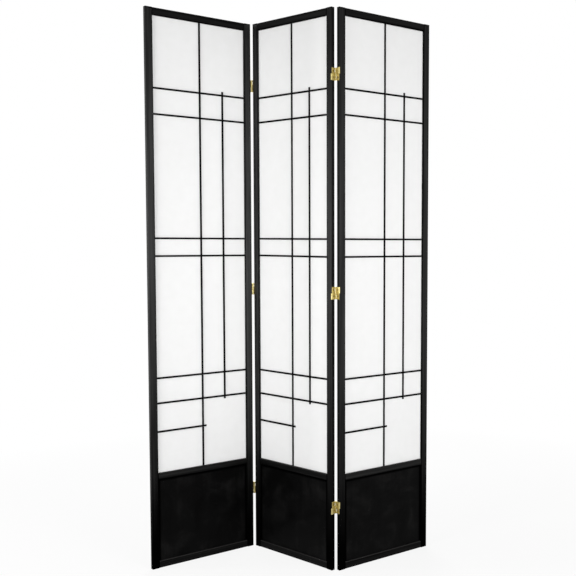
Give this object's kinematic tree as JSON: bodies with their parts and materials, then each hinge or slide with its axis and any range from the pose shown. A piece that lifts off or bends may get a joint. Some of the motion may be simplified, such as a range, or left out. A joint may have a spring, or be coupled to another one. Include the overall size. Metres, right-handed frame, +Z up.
{
  "type": "folding shoji screen",
  "caption": "Free-standing folding shoji screen: black wood panels with white paper, an offset lattice, solid kick panels and brass two-way hinges.",
  "frame": {"origin": "on the floor under the centre of the middle panel, which is the centre of the outline seen from above", "axes": "+Z up, +X to the right along the line of the screen, +Y towards the rear; the lattice side faces -Y"},
  "size_m": [1.069, 0.3126, 2.134],
  "materials": {
    "black_wood": "black stained softwood, satin lacquer, fine straight grain",
    "kick_panel": "black stained thin plywood, matt lacquer",
    "paper": "white pressed-pulp shoji paper with faint fibres",
    "brass": "bright pressed brass sheet"
  },
  "bodies": {
    "left_panel": {"left_panel_left_stile": "black_wood", "left_panel_right_stile": "black_wood", "left_panel_top_rail": "black_wood", "left_panel_middle_rail": "black_wood", "left_panel_bottom_rail": "black_wood", "left_panel_kick_panel": "kick_panel", "left_panel_main_upright": "black_wood", "left_panel_short_upright": "black_wood", "left_panel_crossbar_1": "black_wood", "left_panel_crossbar_2": "black_wood", "left_panel_crossbar_3": "black_wood", "left_panel_crossbar_4": "black_wood", "left_panel_crossbar_5": "black_wood", "left_panel_crossbar_6": "black_wood", "left_panel_short_crossbar": "black_wood", "left_panel_paper": "paper", "left_hinge_outer_leaves": "brass"},
    "middle_panel": {"middle_panel_left_stile": "black_wood", "middle_panel_right_stile": "black_wood", "middle_panel_top_rail": "black_wood", "middle_panel_middle_rail": "black_wood", "middle_panel_bottom_rail": "black_wood", "middle_panel_kick_panel": "kick_panel", "middle_panel_main_upright": "black_wood", "middle_panel_short_upright": "black_wood", "middle_panel_crossbar_1": "black_wood", "middle_panel_crossbar_2": "black_wood", "middle_panel_crossbar_3": "black_wood", "middle_panel_crossbar_4": "black_wood", "middle_panel_crossbar_5": "black_wood", "middle_panel_crossbar_6": "black_wood", "middle_panel_short_crossbar": "black_wood", "middle_panel_paper": "paper", "left_hinge_inner_leaves": "brass", "right_hinge_inner_leaves": "brass"},
    "right_panel": {"right_panel_left_stile": "black_wood", "right_panel_right_stile": "black_wood", "right_panel_top_rail": "black_wood", "right_panel_middle_rail": "black_wood", "right_panel_bottom_rail": "black_wood", "right_panel_kick_panel": "kick_panel", "right_panel_main_upright": "black_wood", "right_panel_short_upright": "black_wood", "right_panel_crossbar_1": "black_wood", "right_panel_crossbar_2": "black_wood", "right_panel_crossbar_3": "black_wood", "right_panel_crossbar_4": "black_wood", "right_panel_crossbar_5": "black_wood", "right_panel_crossbar_6": "black_wood", "right_panel_short_crossbar": "black_wood", "right_panel_paper": "paper", "right_hinge_outer_leaves": "brass"},
    "left_upper_links": {"left_hinge_upper_links": "brass", "left_hinge_upper_pins": "brass"},
    "left_lower_links": {"left_hinge_lower_links": "brass", "left_hinge_lower_pins": "brass"},
    "right_upper_links": {"right_hinge_upper_links": "brass", "right_hinge_upper_pins": "brass"},
    "right_lower_links": {"right_hinge_lower_links": "brass", "right_hinge_lower_pins": "brass"}
  },
  "joints": [
    {"name": "right_panel_fold", "type": "hinge", "parent": "middle_panel", "child": "right_upper_links", "pos_m": [0.17982, -0.13659, 0], "axis": [0, 0, 1], "range_deg": [-80, 100]},
    {"name": "right_panel_back_fold", "type": "hinge", "parent": "right_upper_links", "child": "right_panel", "pos_m": [0.1939, -0.15337, 0], "axis": [0, 0, 1], "range_deg": [-90, 0]},
    {"name": "right_lower_links_turn", "type": "hinge", "parent": "middle_panel", "child": "right_lower_links", "pos_m": [0.16574, -0.15337, 0], "axis": [0, 0, 1], "range_deg": [-90, 0]},
    {"name": "left_panel_fold", "type": "hinge", "parent": "middle_panel", "child": "left_upper_links", "pos_m": [-0.17982, 0.13659, 0], "axis": [0, 0, 1], "range_deg": [-80, 100]},
    {"name": "left_panel_back_fold", "type": "hinge", "parent": "left_upper_links", "child": "left_panel", "pos_m": [-0.1939, 0.15337, 0], "axis": [0, 0, 1], "range_deg": [-90, 0]},
    {"name": "left_lower_links_turn", "type": "hinge", "parent": "middle_panel", "child": "left_lower_links", "pos_m": [-0.16574, 0.15337, 0], "axis": [0, 0, 1], "range_deg": [-90, 0]}
  ],
  "couplings": [
    {"joint": "right_lower_links_turn", "follows": "right_panel_back_fold", "ratio": 1},
    {"joint": "left_lower_links_turn", "follows": "left_panel_back_fold", "ratio": 1}
  ]
}
